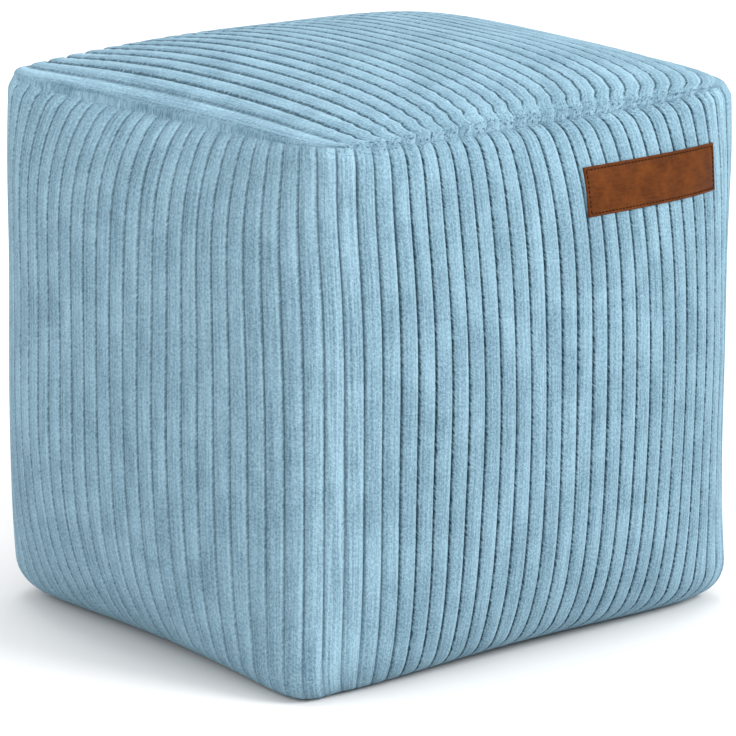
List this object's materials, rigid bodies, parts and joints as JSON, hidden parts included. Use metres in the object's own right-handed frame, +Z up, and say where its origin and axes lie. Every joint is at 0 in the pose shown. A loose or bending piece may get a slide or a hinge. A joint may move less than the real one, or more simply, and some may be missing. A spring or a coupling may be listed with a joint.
{
  "type": "bean bag footstool",
  "caption": "Cube-shaped filled footstool in wide-rib corduroy with a crowned top, drawn-in seams and a leather label on the front.",
  "frame": {"origin": "under the middle of the base, on the floor", "axes": "+Z up, -Y out of the front that carries the label, +X to the right of the front"},
  "size_m": [0.447, 0.3866, 0.393],
  "materials": {
    "blue_corduroy": "light blue jumbo corduroy, matt with a soft sheen on the pile",
    "brown_leather": "mid-brown leather, satin"
  },
  "bodies": {
    "root": {"filled_cube": "blue_corduroy", "label": "brown_leather"}
  },
  "joints": []
}
